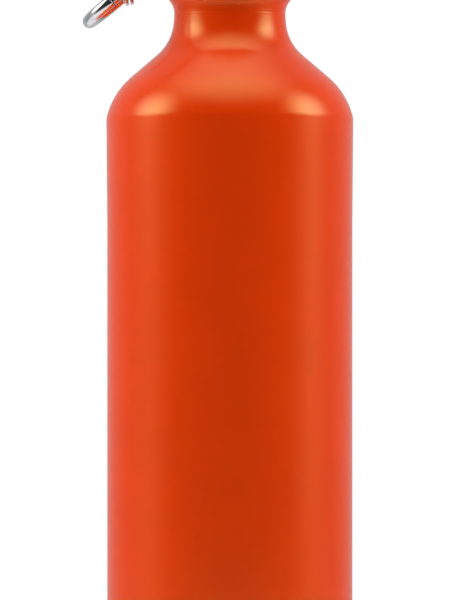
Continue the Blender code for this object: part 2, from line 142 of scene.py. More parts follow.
class CapSizes(PropertyGroup):
    """The moulded cap: flange, plug and loop."""
    flange_radius: length("Flange radius", "Outer radius of the flange", 0.0200)
    flange_height: length("Flange height", "Height of the flange", 0.0054)
    edge_round: length("Edge round", "Radius of the flange's upper edge", 0.0013)
    chamfer: length("Chamfer", "Chamfer of the flange's lower edge", 0.0005)
    groove_depth: length("Groove depth", "Depth of the groove that holds the gasket", 0.0007)
    plug_length: length("Plug length", "How far the plug reaches into the neck", 0.0130)
    plug_step: length("Plug step", "Step from the plug's collar to its threaded part", 0.0009)
    plug_wall: length("Plug wall", "Thickness of the plug's wall", 0.0020)
    plug_chamfer: length("Plug chamfer", "Chamfer at the plug's end", 0.0010)
    collar_length: length("Collar length", "Length of the plug's smooth collar", 0.0030)
    plate: length("Plate", "Thickness of the cap over the hollow plug", 0.0025)
    flutes: count("Flutes", "Number of hollows round the flange", 16)
    flute_depth: length("Flute depth", "Depth of the hollows", 0.00045)
    ribs_per_flute: count("Ribs in a flute", "Number of fine ribs from one flute to the next", 5)
    rib_depth: length("Rib depth", "Depth of the fine grip ribs", 0.00012)
    loop_gap: length("Loop gap", "Width of the opening in the loop", 0.0161)
    loop_leg: length("Loop leg", "Thickness of the loop", 0.0042)
    loop_leg_height: length("Leg height", "Height of the loop's straight legs", 0.0118)
    loop_depth: length("Loop depth", "Depth of the loop from front to back", 0.0072)
    loop_foot: length("Loop foot", "How much wider each leg is at its foot", 0.0009)
    loop_round: length("Loop round", "Radius of the loop's edges", 0.0012)
    foot_fillet: length("Foot fillet", "Radius where the loop meets the flange", 0.0007)
    ring_line_radius: length("Ring line radius", "Radius of the fine groove round the top", 0.0170)
    ring_line_width: length("Ring line width", "Width of the fine groove", 0.0006)
    ring_line_depth: length("Ring line depth", "Depth of the fine groove", 0.0003)
    gasket_round: length("Gasket rounding", "Radius of the gasket's edges", 0.0004)


class CarabinerSizes(PropertyGroup):
    """The bent rod, its gate and the split ring."""
    span: length("Length", "Outer length", 0.0497)
    width: length("Width", "Outer width", 0.0237)
    rod_radius: length("Rod radius", "Radius of the bent rod", 0.00185)
    loop_bend: length("Upper bend", "Bend radius at the end in the cap's loop", 0.0060)
    tip_bend: length("Lower bend", "Bend radius at the free end", 0.0085)
    nose_distance: length("Nose distance", "Distance from the loop's rod to the nose", 0.0373)
    gate_radius: length("Gate radius", "Radius of the gate", 0.00175)
    tongue_thickness: length("Tongue thickness", "Thickness of the hinge tongue", 0.0015)
    tongue_reach: length("Tongue reach", "How far the tongue goes past the rivet", 0.0018)
    tongue_half_width: length("Tongue half width", "Half the width of the tongue", 0.0014)
    rivet_radius: length("Rivet radius", "Radius of the gate's rivet", 0.00055)
    plate_thickness: length("Nose plate thickness", "Thickness of the nose plate", 0.0013)
    plate_half_width: length("Nose plate half width", "Half the width of the nose plate", 0.0012)
    plate_length: length("Nose plate length", "Length of the nose plate", 0.0033)
    pin_radius: length("Latch pin radius", "Radius of the latch pin", 0.00045)
    pin_inset: length("Latch pin inset", "From the latch pin to the gate's end", 0.0015)
    pin_offset: length("Latch pin offset", "From the latch pin to the gate's middle", 0.00045)
    slot_gap: length("Slot gap", "Clearance on each side of a slot", 0.0002)
    running_gap: length("Running gap", "Clearance round the pins", 0.0001)
    edge: length("Edge", "Rounding of the rod's and the gate's cut ends", 0.00018)
    bore_radius: length("Bore radius", "Radius of the spring's bore in the gate", 0.00115)
    bore_length: length("Bore length", "Length of the spring's bore", 0.0140)
    ring_wire_radial: length("Ring wire radial", "Thickness of the ring's wire outwards", 0.0008)
    ring_wire_axial: length("Ring wire axial", "Width of the ring's wire along its axis", 0.00105)
    ring_wire_round: length("Ring wire rounding", "Radius of the wire's corners", 0.00026)
    ring_pitch: length("Ring pitch", "Distance between the ring's turns", 0.0015)
    ring_slack: length("Ring slack", "Clearance between the ring and the rod", 0.0003)
    ring_tilt: angle("Ring tilt", "Tilt of the ring on the rod", 27.0)
    ring_step: angle("Ring step", "Angle over which the wire steps over", 40.0)
    ring_end_gap: angle("Ring end gap", "Angle between the ring's two ends and the step", 12.0)


class Finishes(PropertyGroup):
    """Colours of the coat, the mouldings and the metals."""
    coat: colour("Coat", "Powder coat of the bottle", (0.82, 0.045, 0.0004))
    lacquer: colour("Lacquer", "Lacquer on the inside of the bottle", (0.62, 0.50, 0.30))
    moulding: colour("Moulding", "Plastic of the cap", (0.022, 0.022, 0.024))
    silicone: colour("Silicone", "Silicone of the gasket", (0.55, 0.55, 0.53))
    bright: colour("Bright metal", "Polished aluminium of the carabiner", (0.86, 0.87, 0.89))
    steel: colour("Steel", "Plated steel of the ring and the pins", (0.66, 0.65, 0.64))
    lines_below_mouth: length("Lines below mouth", "Distance from the mouth to the forming lines", 0.0080)
    lines_reach: length("Lines' reach", "Height over which the lines fade to each side", 0.0018)
    lines_spacing: length("Lines' spacing", "Distance between the forming lines", 0.0009)
    lines_depth: length("Lines' depth", "Depth of the forming lines", 0.000016)


class Fineness(PropertyGroup):
    """How finely the round surfaces are divided."""
    bottle: count("Bottle", "Steps round the bottle", 192)
    cap: count("Cap", "Steps round the cap", 480)
    rod: count("Rod", "Sides of the bent rod", 48)
    bend: count("Bend", "Steps in a quarter bend of the rod", 28)
    arc: angle("Arc", "Largest angle that one step of an arc takes", 5.0)
    wall: count("Wall", "Steps up the swelling part of the wall", 6)
    fillet: count("Fillet", "Steps up a hollow fillet", 6)
    thread: count("Thread", "Steps in one turn of a thread", 96)
    wire: count("Wire", "Steps in one flat turn of the ring", 96)
    wire_step: count("Wire step", "Steps where the ring's wire steps over", 12)
    floor: count("Floor", "Sides of the floor", 128)


class StageSizes(PropertyGroup):
    """The floor, the lamps and the camera."""
    floor_radius: length("Floor radius", "Radius of the floor", 3.0)
    floor_drop: length("Floor drop", "How far the floor lies under the flask", 0.00005)
    paper: colour("Paper", "Colour of the floor", (0.78, 0.78, 0.78))
    glow_from: length("White from", "Where the paper starts to show plain white", 0.22)
    glow_to: length("White to", "Where the paper is plain white", 0.42)
    surround: FloatVectorProperty(
        name="Surround", description="Its levels, from the viewer's side to the back", size=5,
        default=(0.02, 0.04, 0.54, 0.27, 0.50))
    left_power: watts("Left power", "Power of the left box", 26.5)
    right_power: watts("Right power", "Power of the right box", 25.6)
    top_power: watts("Top power", "Power of the top box", 29.5)
    strip_power: watts("Strip power", "Power of the low strip", 0.7)
    left_fill: watts("Left fill", "Power of the left fill", 11.0)
    right_fill: watts("Right fill", "Power of the right fill", 8.5)
    distance: length("Camera distance", "Distance from the camera to the flask's axis", 1.4)
    frame_height: length("Frame height", "Height that the frame covers at the flask", 0.1775)
    aim_height: length("Aim height", "Height of the frame's middle", 0.1213)
    aim_side: length("Aim side", "From the axis to the frame's middle", 0.0002)


groups = {
    "bottle": BottleSizes, "thread": ThreadSizes, "cap": CapSizes, "carabiner": CarabinerSizes,
    "finish": Finishes, "fineness": Fineness, "stage": StageSizes,
}


def settings(group):
    return getattr(bpy.context.scene, "flask_" + group)


def new_verts(made):
    return [item for item in made if isinstance(item, bmesh.types.BMVert)]


def new_edges(made):
    return [item for item in made if isinstance(item, bmesh.types.BMEdge)]


def spin(bm, parts, centre, axis, turn, steps, climb=0.0, merge=False):
    """Spins these parts, with this climb at each step, and gives their last copies."""
    return bmesh.ops.spin(
        bm, geom=parts, cent=centre, axis=axis, angle=turn, dvec=(0, 0, climb), steps=steps,
        use_merge=merge, use_duplicate=False)["geom_last"]


def face_outward(bm):
    bmesh.ops.recalc_face_normals(bm, faces=bm.faces)


def shift(bm, step):
    bmesh.ops.translate(bm, verts=bm.verts, vec=step)


def lay_lengthwise(bm):
    """Turns what stands along Z to lie along X."""
    bmesh.ops.rotate(bm, cent=(0, 0, 0), matrix=Matrix.Rotation(quarter, 3, "Y"), verts=bm.verts)


def soften(bm, parts, width, segments=3, affect="EDGES"):
    bmesh.ops.bevel(
        bm, geom=parts, offset=width, offset_type="OFFSET", segments=segments, profile=0.5,
        affect=affect, material=-1, clamp_overlap=True)


class Profile:
    """A line drawn in the XZ plane of a bmesh. Heading 0 points along X, and 90 degrees along Z."""

    def __init__(self, bm, first, second):
        self.bm = bm
        self.start = self.end = bm.verts.new((first, 0, second))
        self.heading = 0.0

    def grow(self, step):
        made = bmesh.ops.extrude_vert_indiv(self.bm, verts=[self.end])
        self.end = made["verts"][0]
        bmesh.ops.translate(self.bm, verts=[self.end], vec=step)

    def run(self, distance):
        self.grow(Vector((math.cos(self.heading), 0, math.sin(self.heading))) * distance)

    def to(self, first, second):
        self.grow(Vector((first, 0, second)) - self.end.co)

    def arc(self, radius, turn):
        """Goes round by this angle, to the left if positive."""
        side = math.copysign(1, turn)
        left = Vector((-math.sin(self.heading), 0, math.cos(self.heading)))
        centre = self.end.co + left * side * radius
        steps = max(2, math.ceil(abs(turn) / settings("fineness").arc))
        self.end = new_verts(spin(self.bm, [self.end], centre, (0, -1, 0), turn, steps))[0]
        self.heading += turn

    def close(self):
        self.bm.edges.new((self.end, self.start))


def revolve(bm, steps):
    """Spins the bmesh's line once round the Z axis."""
    spin(bm, bm.verts[:] + bm.edges[:], (0, 0, 0), (0, 0, 1), math.tau, steps, merge=True)
    bmesh.ops.remove_doubles(bm, verts=bm.verts, dist=merge_distance)
    bmesh.ops.dissolve_degenerate(bm, edges=bm.edges, dist=tiny)
    face_outward(bm)


def add_object(name, data):
    made = bpy.data.objects.new(name, data)
    bpy.context.scene.collection.objects.link(made)
    return made


def make_object(name, bm, *materials, sharp=40.0):
    """An object of the bmesh, smooth except at edges sharper than this angle in degrees."""
    mesh = bpy.data.meshes.new(name)
    bm.to_mesh(mesh)
    bm.free()
    for made in materials:
        mesh.materials.append(made)
    piece = add_object(name, mesh)
    smooth(piece, sharp)
    return piece


def place(piece, body, slot, *nodes):
    """The piece rides on a body and stands for these plain solids; the slot is not used."""
    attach(piece, body)
    if nodes:
        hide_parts(*nodes)


def cut_and_join(piece, joins=(), cuts=()):
    """Joins some shapes to the piece and cuts others from it, then removes them all."""
    for operation, others in (("UNION", joins), ("DIFFERENCE", cuts)):
        for other in others:
            made = piece.modifiers.new(other.name, "BOOLEAN")
            made.operation = operation
            made.object = other
    graph = bpy.context.evaluated_depsgraph_get()
    mesh = bpy.data.meshes.new_from_object(piece.evaluated_get(graph))
    piece.modifiers.clear()
    piece.data = mesh
    for other in (*joins, *cuts):
        bpy.data.objects.remove(other)
    return piece


def smooth(piece, sharp):
    piece.data.shade_smooth()
    piece.data.set_sharp_from_angle(angle=math.radians(sharp))


def rod_frame():
    """From the carabiner's own axes, X down its length, Y to its back rod and Z across, to the model's."""
    across = along_rod.cross(Vector((0, 1, 0)))
    turn = Matrix((along_rod, Vector((0, 1, 0)), across)).transposed()
    return Matrix.Translation(carabiner_pivot) @ turn.to_4x4()


# The bottle.


def shoulder_flank(sizes, drop, inset):
    """Length of the straight flank that brings the wall in by this drop."""
    lean, first = sizes.flank_lean, sizes.edge_turn
    last = lean - sizes.throat_turn
    by_arcs = (sizes.edge_radius - inset) * (1 - math.cos(first))
    by_arcs += (sizes.crown_radius - inset) * (math.cos(first) - math.cos(lean))
    by_arcs += (sizes.throat_radius + inset) * (math.cos(last) - math.cos(lean))
    by_arcs += (sizes.collar_radius + inset) * (1 - math.cos(last))
    return (drop - by_arcs) / math.sin(lean)


def draw_shoulder(line, sizes, drop, inset):
    line.heading = quarter
    line.arc(sizes.edge_radius - inset, sizes.edge_turn)
    line.arc(sizes.crown_radius - inset, sizes.flank_lean - sizes.edge_turn)
    line.run(shoulder_flank(sizes, drop, inset))
    line.arc(sizes.throat_radius + inset, -sizes.throat_turn)
    line.arc(sizes.collar_radius + inset, sizes.throat_turn - sizes.flank_lean)


def shoulder_height(sizes, drop, inset):
    bm = bmesh.new()
    line = Profile(bm, 0, 0)
    draw_shoulder(line, sizes, drop, inset)
    height = line.end.co.z
    bm.free()
    return height


def draw_swelling(line, sizes, top):
    """The straight wall up to this height, which widens evenly over its last part."""
    low = top - sizes.swell_height
    steps = settings("fineness").wall
    for step in range(steps + 1):
        part = step / steps
        line.to(sizes.body_radius + sizes.shoulder_swell * part, low + sizes.swell_height * part)


def draw_outside(bm, sizes):
    """The outside of the shell, from the middle of the base to the mouth's inner edge."""
    top = shell_high.z
    mouth = mouth_radius()
    flare = sizes.bead_flare
    widening = sizes.bead_radius - sizes.neck_radius
    flare_run = (widening - (sizes.bead_fillet + sizes.bead_round) * (1 - math.cos(flare))) / math.sin(flare)
    climb = (sizes.bead_fillet + sizes.bead_round) * math.sin(flare) + flare_run * math.cos(flare)
    flare_height = top - sizes.bead_round - climb
    drop = sizes.body_radius + sizes.shoulder_swell - sizes.neck_radius
    wall_top = flare_height - sizes.neck_straight - shoulder_height(sizes, drop, 0)
    ring_outer = sizes.body_radius - sizes.heel_radius
    ring_inner = ring_outer - sizes.ring_width
    step_turn = 2 * math.atan(sizes.panel_rise / sizes.panel_step)
    step_arc = sizes.panel_step / 2 / math.sin(step_turn)

    line = Profile(bm, 0, sizes.panel_rise)
    line.run(ring_inner - sizes.panel_step)
    line.arc(step_arc, -step_turn)
    line.arc(step_arc, step_turn)
    line.to(ring_outer, 0)
    line.heading = 0
    line.arc(sizes.heel_radius, quarter)
    draw_swelling(line, sizes, wall_top)
    draw_shoulder(line, sizes, drop, 0)
    line.to(sizes.neck_radius, flare_height)
    line.heading = quarter
    line.arc(sizes.bead_fillet, -flare)
    line.run(flare_run)
    line.arc(sizes.bead_round, flare + quarter)
    line.to(mouth + sizes.lip_round, top)
    line.arc(sizes.lip_round, quarter)
    return line, wall_top


def draw_inside(line, sizes, wall_top):
    """The inside of the shell, from the mouth down to the middle of the base."""
    mouth = mouth_radius()
    drop = sizes.body_radius + sizes.shoulder_swell - sizes.wall - mouth
    outer_drop = sizes.body_radius + sizes.shoulder_swell - sizes.neck_radius
    outer, inner = shoulder_height(sizes, outer_drop, 0), shoulder_height(sizes, drop, sizes.wall)
    inner_top = wall_top + (outer - inner) / 2
    lean = sizes.flank_lean
    line.to(mouth, inner_top + inner)
    line.heading = -quarter
    line.arc(sizes.collar_radius + sizes.wall, lean - sizes.throat_turn)
    line.arc(sizes.throat_radius + sizes.wall, sizes.throat_turn)
    line.run(shoulder_flank(sizes, drop, sizes.wall))
    line.arc(sizes.crown_radius - sizes.wall, sizes.edge_turn - lean)
    line.arc(sizes.edge_radius - sizes.wall, -sizes.edge_turn)
    line.to(sizes.body_radius - sizes.wall, wall_top - sizes.swell_height)
    floor = sizes.panel_rise + sizes.base_thickness
    heel = sizes.heel_radius - sizes.wall
    line.to(sizes.body_radius - sizes.wall, floor + heel)
    line.arc(heel, -quarter)
    line.to(0, floor)


def build_bottle():
    sizes = settings("bottle")
    bm = bmesh.new()
    line, wall_top = draw_outside(bm, sizes)
    draw_inside(line, sizes, wall_top)
    revolve(bm, settings("fineness").bottle)
    lip = sizes.neck_radius - sizes.neck_wall / 2
    floor = sizes.panel_rise + sizes.base_thickness / 2
    level_enough = 0.5
    for face in bm.faces:
        centre = face.calc_center_median()
        outward = Vector((centre.x, centre.y, 0)).dot(face.normal)
        in_mouth = centre.xy.length < lip and centre.z > wall_top
        facing_in = outward < 0 and floor < centre.z < shell_high.z - 2 * sizes.bead_round
        facing_up = face.normal.z > level_enough and floor < centre.z < wall_top / 2
        if in_mouth or facing_in or facing_up:
            face.material_index = 1
    bottle = make_object("bottle", bm, finish(powder_coat), finish(inner_lacquer))
    place(bottle, "bottle", "coated_aluminium", "bottle_shell")

    ridge = thread_ridge("mouth_thread", mouth_radius(), -1, finish(inner_lacquer))
    ridge.data.transform(Matrix.Rotation(math.pi, 4, "Z"))
    place(ridge, "bottle", "coated_aluminium")


def mouth_radius():
    sizes = settings("bottle")
    return sizes.neck_radius - sizes.neck_wall


def thread_ridge(name, wall_radius, outward, material):
    """A helical ridge on a round wall, with its ends sunk in. outward is 1 on a plug and -1 in a bore."""
    sizes = settings("thread")
    start = shell_high.z - sizes.reach
    sunk = wall_radius - outward * sizes.root
    crest = wall_radius + outward * sizes.depth
    crest_side = crest - outward * sizes.crest_chamfer
    foot, half = sizes.base_width / 2, sizes.crest_width / 2
    flank = [(sunk, foot), (wall_radius, foot), (crest_side, half), (crest, half - sizes.crest_chamfer)]
    lower = [(radius, start - below) for radius, below in flank]
    upper = [(radius, start + above) for radius, above in reversed(flank)]
    bm = bmesh.new()
    line = Profile(bm, *lower[0])
    for point in (*lower[1:], *upper):
        line.to(*point)
    line.close()
    section = len(bm.verts)
    steps = math.ceil(settings("fineness").thread * sizes.turns)
    climb = sizes.pitch * sizes.turns / steps
    spin(bm, bm.verts[:] + bm.edges[:], (0, 0, 0), (0, 0, 1), math.tau * sizes.turns, steps, climb)
    bmesh.ops.holes_fill(bm, edges=bm.edges, sides=section)
    bm.verts.ensure_lookup_table()
    runout = sizes.runout / math.tau / sizes.turns
    for index, corner in enumerate(bm.verts):
        along = (index // section) / steps
        near = min(along, 1 - along) / runout
        if near < 1:
            radius = corner.co.xy.length
            corner.co.xy *= (sunk + (radius - sunk) * math.sin(near * quarter)) / radius
    face_outward(bm)
    return make_object(name, bm, material, sharp=50)


# The gasket and the cap.


def build_gasket():
    inner, outer = mouth_radius(), gasket_high.x
    corner = settings("cap").gasket_round
    wide = outer - inner - 2 * corner
    high = gasket_high.z - gasket_low.z - 2 * corner
    bm = bmesh.new()
    line = Profile(bm, inner + corner, gasket_low.z)
    for distance in (wide, high, wide, high):
        line.run(distance)
        line.arc(corner, quarter)
    line.close()
    revolve(bm, settings("fineness").bottle)
    gasket = make_object("gasket", bm, finish(pale_silicone))
    place(gasket, "gasket", "grey_silicone", "cap_gasket")


def cap_seat():
    return cap_low.z + settings("cap").plug_length


def cap_top():
    return cap_seat() + settings("cap").flange_height


def build_cap():
    sizes = settings("cap")
    seat, top = cap_seat(), cap_top()
    collar = mouth_radius() - touch_gap
    plug = collar - sizes.plug_step
    groove_outer = gasket_high.x + touch_gap
    bm = bmesh.new()
    line = Profile(bm, 0, top)
    line.run(sizes.ring_line_radius - sizes.ring_line_width / 2)
    line.to(sizes.ring_line_radius, top - sizes.ring_line_depth)
    line.to(sizes.ring_line_radius + sizes.ring_line_width / 2, top)
    line.to(sizes.flange_radius - sizes.edge_round, top)
    line.heading = 0
    line.arc(sizes.edge_round, -quarter)
    line.to(sizes.flange_radius, seat + sizes.chamfer)
    line.to(sizes.flange_radius - sizes.chamfer, seat)
    line.to(groove_outer, seat)
    line.to(groove_outer, seat + sizes.groove_depth)
    line.to(collar, seat + sizes.groove_depth)
    line.to(collar, seat - sizes.collar_length)
    line.to(plug, seat - sizes.collar_length - sizes.plug_step)
    line.to(plug, cap_low.z + sizes.plug_chamfer)
    line.to(plug - sizes.plug_chamfer, cap_low.z)
    line.to(plug - sizes.plug_wall, cap_low.z)
    line.to(plug - sizes.plug_wall, top - sizes.plate)
    line.to(0, top - sizes.plate)
    revolve(bm, settings("fineness").cap)
    carve_grip(bm, sizes)
    cap = make_object("screw_cap", bm, finish(black_moulding))
    cut_and_join(cap, joins=[cap_loop(sizes, top)])
    smooth(cap, sharp=32)
    place(cap, "cap", "black_polypropylene", "cap")
    ridge = thread_ridge("plug_thread", plug, 1, finish(black_moulding))
    place(ridge, "cap", "black_polypropylene")


def carve_grip(bm, sizes):
    """Draws the flange's side in, in broad flutes with fine ribs between them."""
    for corner in bm.verts:
        outward = Vector((corner.co.x, corner.co.y, 0))
        beyond = outward.length - (sizes.flange_radius - sizes.edge_round)
        if beyond > 0:
            round_the_rim = math.atan2(corner.co.y, corner.co.x)
            flute = (1 - math.cos(sizes.flutes * round_the_rim)) / 2
            rib = (1 - math.cos(sizes.flutes * sizes.ribs_per_flute * round_the_rim)) / 2
            depth = sizes.flute_depth * flute + sizes.rib_depth * rib
            share_of_side = min(1, beyond / sizes.edge_round) ** 2
            corner.co -= outward.normalized() * depth * share_of_side


def cap_loop(sizes, top):
    """The upright loop, with rounded edges and a fillet round each foot."""
    inner, outer = sizes.loop_gap / 2, sizes.loop_gap / 2 + sizes.loop_leg
    spring = top + sizes.loop_leg_height
    foot = top - sizes.plate / 2
    bm = bmesh.new()
    line = Profile(bm, outer + sizes.loop_foot, foot)
    line.to(outer, spring)
    line.heading = quarter
    line.arc(outer, math.pi)
    line.to(-outer - sizes.loop_foot, foot)
    line.to(-inner, foot)
    line.to(-inner, spring)
    line.heading = quarter
    line.arc(inner, -math.pi)
    line.to(inner, foot)
    line.close()
    face = bmesh.ops.contextual_create(bm, geom=bm.edges)["faces"][0]
    raised = bmesh.ops.extrude_face_region(bm, geom=[face])["geom"]
    bmesh.ops.translate(bm, verts=new_verts(raised), vec=(0, sizes.loop_depth, 0))
    shift(bm, (0, -sizes.loop_depth / 2, 0))
    face_outward(bm)
    corner_angle = math.radians(50)
    sharp = [edge for edge in bm.edges if edge.calc_face_angle(0) > corner_angle]
    soften(bm, sharp, sizes.loop_round, segments=5)
    fillet_foot(bm, top, sizes.foot_fillet)
    return make_object("cap_loop", bm, finish(black_moulding))


def fillet_foot(bm, level, radius):
    """Widens an upright shape in a hollow curve where it meets this level."""
    steps = settings("fineness").fillet
    for step in range(steps + 1):
        height = level + radius * (1 - math.cos(quarter * step / steps))
        bmesh.ops.bisect_plane(
            bm, geom=bm.verts[:] + bm.edges[:] + bm.faces[:], dist=tiny, plane_co=(0, 0, height),
            plane_no=(0, 0, 1))
    bm.normal_update()
    for corner in bm.verts:
        rise = max(0, corner.co.z - level)
        outward = Vector((corner.normal.x, corner.normal.y, 0))
        on_a_side = outward.length > 0.5
        if rise < radius and on_a_side:
            reach = radius - math.sqrt(radius ** 2 - (radius - rise) ** 2)
            corner.co += outward.normalized() * reach


# The carabiner, its gate and the split ring. They are drawn in the carabiner's own axes.


def hinge_distance():
    return (gate_pivot - carabiner_pivot).dot(along_rod)


def rod_offset():
    sizes = settings("carabiner")
    return sizes.width / 2 - sizes.rod_radius


def bent_rod(bm, start, radius, legs):
    """A round rod from this point towards -X. Each leg is a straight length and the radius of its bend."""
    fineness = settings("fineness")
    bmesh.ops.create_circle(bm, segments=fineness.rod, radius=radius, cap_ends=False)
    lay_lengthwise(bm)
    shift(bm, start)
    first = bm.edges[:]
    end, point, heading = first, Vector(start), Vector((-1, 0, 0))
    for distance, bend in legs:
        grown = bmesh.ops.extrude_edge_only(bm, edges=end)["geom"]
        bmesh.ops.translate(bm, verts=new_verts(grown), vec=heading * distance)
        point = point + heading * distance
        if bend:
            inward = heading.cross(Vector((0, 0, 1)))
            centre = point + inward * bend
            grown = spin(bm, new_edges(grown), centre, (0, 0, -1), quarter, fineness.bend)
            point = centre + heading * bend
            heading = inward
        end = new_edges(grown)
    bmesh.ops.holes_fill(bm, edges=bm.edges, sides=fineness.rod)
    face_outward(bm)
    soften(bm, first + end, settings("carabiner").edge)


def block(name, ends, sides, half_thickness, rounding=0.0):
    """A block on the gate's axis between these ends and sides, as a tool for cutting or joining."""
    bm = bmesh.new()
    bmesh.ops.create_cube(bm, size=1)
    low = Vector((ends[0], sides[0] - rod_offset(), -half_thickness))
    high = Vector((ends[1], sides[1] - rod_offset(), half_thickness))
    bmesh.ops.scale(bm, verts=bm.verts, vec=high - low)
    shift(bm, (low + high) / 2)
    if rounding:
        soften(bm, bm.edges[:], rounding)
    return make_object(name, bm)


def pin(name, radius, along, half, rounding=0.0, materials=(), offset=0.0, lengthwise=False):
    """A round pin this far along the gate's axis, across it or lengthwise, and offset to the inside."""
    bm = bmesh.new()
    bmesh.ops.create_cone(
        bm, cap_ends=True, segments=settings("fineness").rod, radius1=radius, radius2=radius, depth=2 * half)
    if rounding:
        rims = [edge for edge in bm.edges if edge.verts[0].co.z * edge.verts[1].co.z > 0]
        soften(bm, rims, rounding)
    if lengthwise:
        lay_lengthwise(bm)
    shift(bm, (along, offset - rod_offset(), 0))
    return make_object(name, bm, *materials)


def stand(piece, body, slot, *nodes):
    """Puts a piece that is drawn in the carabiner's own axes in its place."""
    piece.data.transform(rod_frame())
    place(piece, body, slot, *nodes)


def build_carabiner():
    sizes = settings("carabiner")
    across, hinge = rod_offset(), hinge_distance()
    overlap = sizes.rod_radius / 4
    shoulder = hinge - touch_gap - sizes.gate_radius
    long_way = sizes.span - 2 * sizes.rod_radius
    legs = [
        (shoulder - sizes.loop_bend, sizes.loop_bend),
        (2 * (across - sizes.loop_bend), sizes.loop_bend),
        (long_way - sizes.loop_bend - sizes.tip_bend, sizes.tip_bend),
        (2 * (across - sizes.tip_bend), sizes.tip_bend),
        (long_way - sizes.tip_bend - sizes.nose_distance, None),
    ]
    bm = bmesh.new()
    bent_rod(bm, (shoulder, -across, 0), sizes.rod_radius, legs)
    rod = make_object("carabiner", bm, finish(bright_metal))
    tongue = block(
        "tongue", (shoulder - overlap, hinge + sizes.tongue_reach),
        (-sizes.tongue_half_width, sizes.tongue_half_width), sizes.tongue_thickness / 2, sizes.edge / 2)
    hole = pin("hole", sizes.rivet_radius + sizes.running_gap, hinge, sizes.rod_radius)
    cut_and_join(rod, joins=[tongue, nose_plate(sizes, overlap)], cuts=[hole])
    smooth(rod, sharp=35)
    stand(rod, "carabiner", "polished_aluminium", "carabiner_body")

    half = sizes.gate_radius - sizes.running_gap
    rivet = pin("rivet", sizes.rivet_radius, hinge, half, sizes.rivet_radius / 3, [finish(plated_steel)])
    stand(rivet, "carabiner", "spring_steel", "gate_rivet")


def latch_distance(sizes):
    return sizes.nose_distance - touch_gap - sizes.pin_inset


def nose_plate(sizes, overlap):
    """The plate that stands in the gate's slot, with a notch for the latch pin."""
    tip = sizes.nose_distance - sizes.plate_length
    half, thick = sizes.plate_half_width, sizes.plate_thickness / 2
    plate = block("plate", (tip, sizes.nose_distance + overlap), (-half, half), thick, sizes.edge / 2)
    latch, reach = latch_distance(sizes), sizes.pin_radius + sizes.slot_gap
    notch = block(
        "notch", (latch - reach, latch + reach), (sizes.pin_offset - reach, 2 * half), 2 * thick,
        sizes.edge / 2)
    return cut_and_join(plate, cuts=[notch])


def build_gate():
    sizes = settings("carabiner")
    hinge, latch = hinge_distance(), latch_distance(sizes)
    gate_length = sizes.nose_distance - touch_gap - hinge
    bm = bmesh.new()
    line = Profile(bm, 0, -sizes.gate_radius)
    line.arc(sizes.gate_radius, quarter)
    line.to(sizes.gate_radius, gate_length - sizes.edge)
    line.heading = quarter
    line.arc(sizes.edge, quarter)
    line.to(0, gate_length)
    revolve(bm, settings("fineness").rod)
    lay_lengthwise(bm)
    shift(bm, (hinge, -rod_offset(), 0))
    gate = make_object("gate", bm, finish(bright_metal))
    wide = 2 * sizes.gate_radius
    tongue = sizes.tongue_thickness / 2 + sizes.slot_gap
    plate = sizes.plate_thickness / 2 + sizes.slot_gap
    floor = math.hypot(sizes.tongue_reach, sizes.tongue_half_width) + touch_gap
    plate_start = sizes.nose_distance - sizes.plate_length - touch_gap
    bore_middle = hinge + floor + (sizes.bore_length - touch_gap) / 2
    cuts = [
        block("hinge_slot", (hinge - wide, hinge + floor), (-wide, wide), tongue),
        block("nose_slot", (plate_start, sizes.nose_distance + wide), (-wide, wide), plate),
        pin("bore", sizes.bore_radius, bore_middle, (sizes.bore_length + touch_gap) / 2, lengthwise=True),
        pin("rivet_hole", sizes.rivet_radius + sizes.running_gap, hinge, wide),
        pin("latch_hole", sizes.pin_radius + sizes.running_gap, latch, wide, offset=sizes.pin_offset),
    ]
    cut_and_join(gate, cuts=cuts)
    smooth(gate, sharp=35)
    stand(gate, "gate", "polished_aluminium", "carabiner_gate")

    half = math.sqrt(sizes.gate_radius ** 2 - sizes.pin_offset ** 2) - sizes.running_gap
    crossing = pin(
        "latch", sizes.pin_radius, latch, half, sizes.pin_radius / 3, [finish(plated_steel)],
        offset=sizes.pin_offset)
    stand(crossing, "gate", "spring_steel", "latch_pin")


